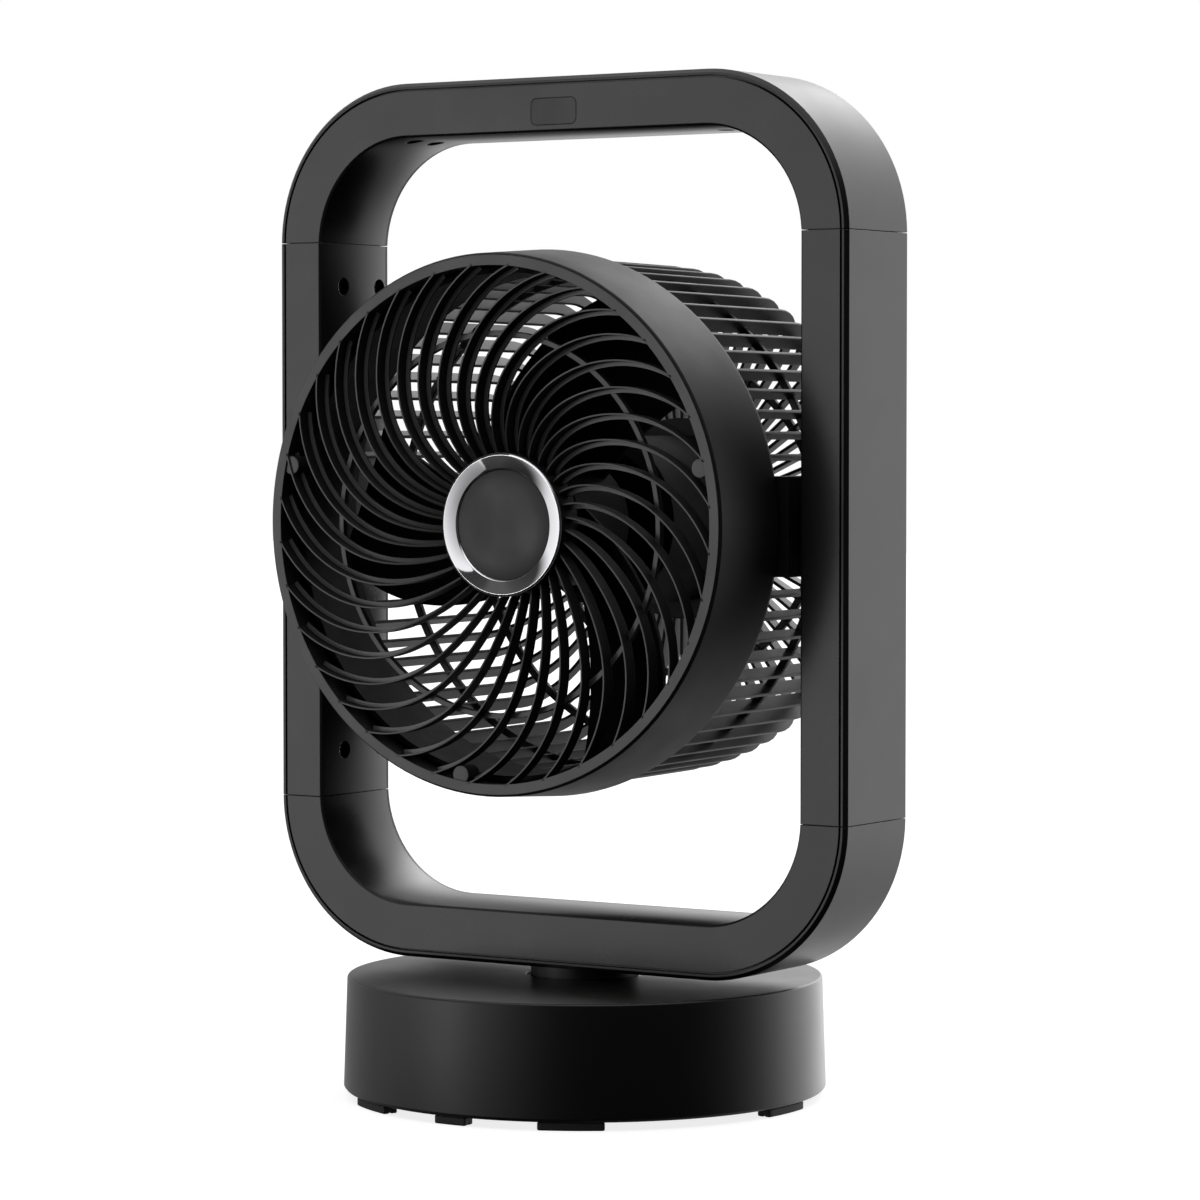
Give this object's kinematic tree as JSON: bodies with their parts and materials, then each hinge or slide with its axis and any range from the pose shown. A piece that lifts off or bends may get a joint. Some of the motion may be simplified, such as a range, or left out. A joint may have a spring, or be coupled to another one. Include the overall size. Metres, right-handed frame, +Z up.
{
  "type": "air circulator fan",
  "caption": "Desk air circulator: a round fan head with spiral vanes tilts inside an upright rounded frame that swivels on a drum-shaped base.",
  "frame": {"origin": "on the table, under the middle of the round base", "axes": "+Z up; the air leaves towards -Y; +X is to the right as seen from the front"},
  "size_m": [0.2588, 0.1864, 0.391],
  "materials": {
    "shell": "satin black ABS, fine spark texture",
    "front_face": "satin dark grey-black face of the frame and the grille",
    "chrome_trim": "polished plated trim",
    "hub_face": "satin dark grey disc",
    "window": "dark infrared-clear pane",
    "foot_rubber": "matt black rubber",
    "steel": "zinc-plated steel",
    "ballast": "grey painted weight",
    "nylon": "off-white acetal",
    "motor_steel": "black painted steel housing",
    "windings": "enamelled copper and steel laminations",
    "board": "green solder-masked circuit board",
    "blade": "satin black polypropylene"
  },
  "bodies": {
    "base": {"base_cover": "shell", "base_plate": "shell", "rubber_feet": "foot_rubber", "base_screws": "steel", "ballast_ring": "ballast", "neck_washer": "nylon", "swivel_bush": "nylon", "swivel_motor": "motor_steel", "motor_screws": "steel", "control_board": "board", "power_socket": "shell"},
    "pinion": {"drive_pinion": "nylon"},
    "frame": {"frame_bottom": "shell", "frame_top": "shell", "frame_left_leg": "shell", "frame_right_leg": "shell", "panel_bottom": "front_face", "panel_top": "front_face", "panel_left": "front_face", "panel_right": "front_face", "splice_sleeves": "shell", "frame_screws": "steel", "sensor_window": "window", "sensor_board": "board", "neck_post": "shell", "neck_screws": "steel", "swivel_gear": "nylon", "left_tilt_bush": "nylon", "right_tilt_bush": "nylon"},
    "head": {"front_grille": "front_face", "hub_ring": "chrome_trim", "hub_cap": "hub_face", "head_shroud": "shell", "air_duct": "shell", "basket_wall": "shell", "rear_grille": "shell", "left_pivot_block": "shell", "right_pivot_block": "shell", "left_axle": "steel", "right_axle": "steel", "left_axle_ring": "steel", "right_axle_ring": "steel", "motor_front_can": "motor_steel", "motor_rear_can": "motor_steel", "motor_stator": "windings", "front_bearing": "steel", "rear_bearing": "steel", "head_screws": "steel"},
    "impeller": {"impeller": "blade", "impeller_nut": "shell", "motor_shaft": "steel", "motor_rotor": "motor_steel"}
  },
  "joints": [
    {"name": "frame_swivel", "type": "hinge", "parent": "base", "child": "frame", "pos_m": [0, 0, 0.0461], "axis": [0, 0, 1], "range_deg": [-45, 45]},
    {"name": "pinion_spin", "type": "hinge", "parent": "base", "child": "pinion", "pos_m": [0, 0.03, 0.015], "axis": [0, 0, 1], "range_deg": [-180, 180]},
    {"name": "head_tilt", "type": "hinge", "parent": "frame", "child": "head", "pos_m": [0, 0, 0.2214], "axis": [-1, 0, 0], "range_deg": [-20, 90]},
    {"name": "impeller_spin", "type": "hinge", "parent": "head", "child": "impeller", "pos_m": [0, 0, 0.2214], "axis": [0, 1, 0], "continuous": true}
  ],
  "couplings": [
    {"joint": "pinion_spin", "follows": "frame_swivel", "ratio": -4}
  ]
}
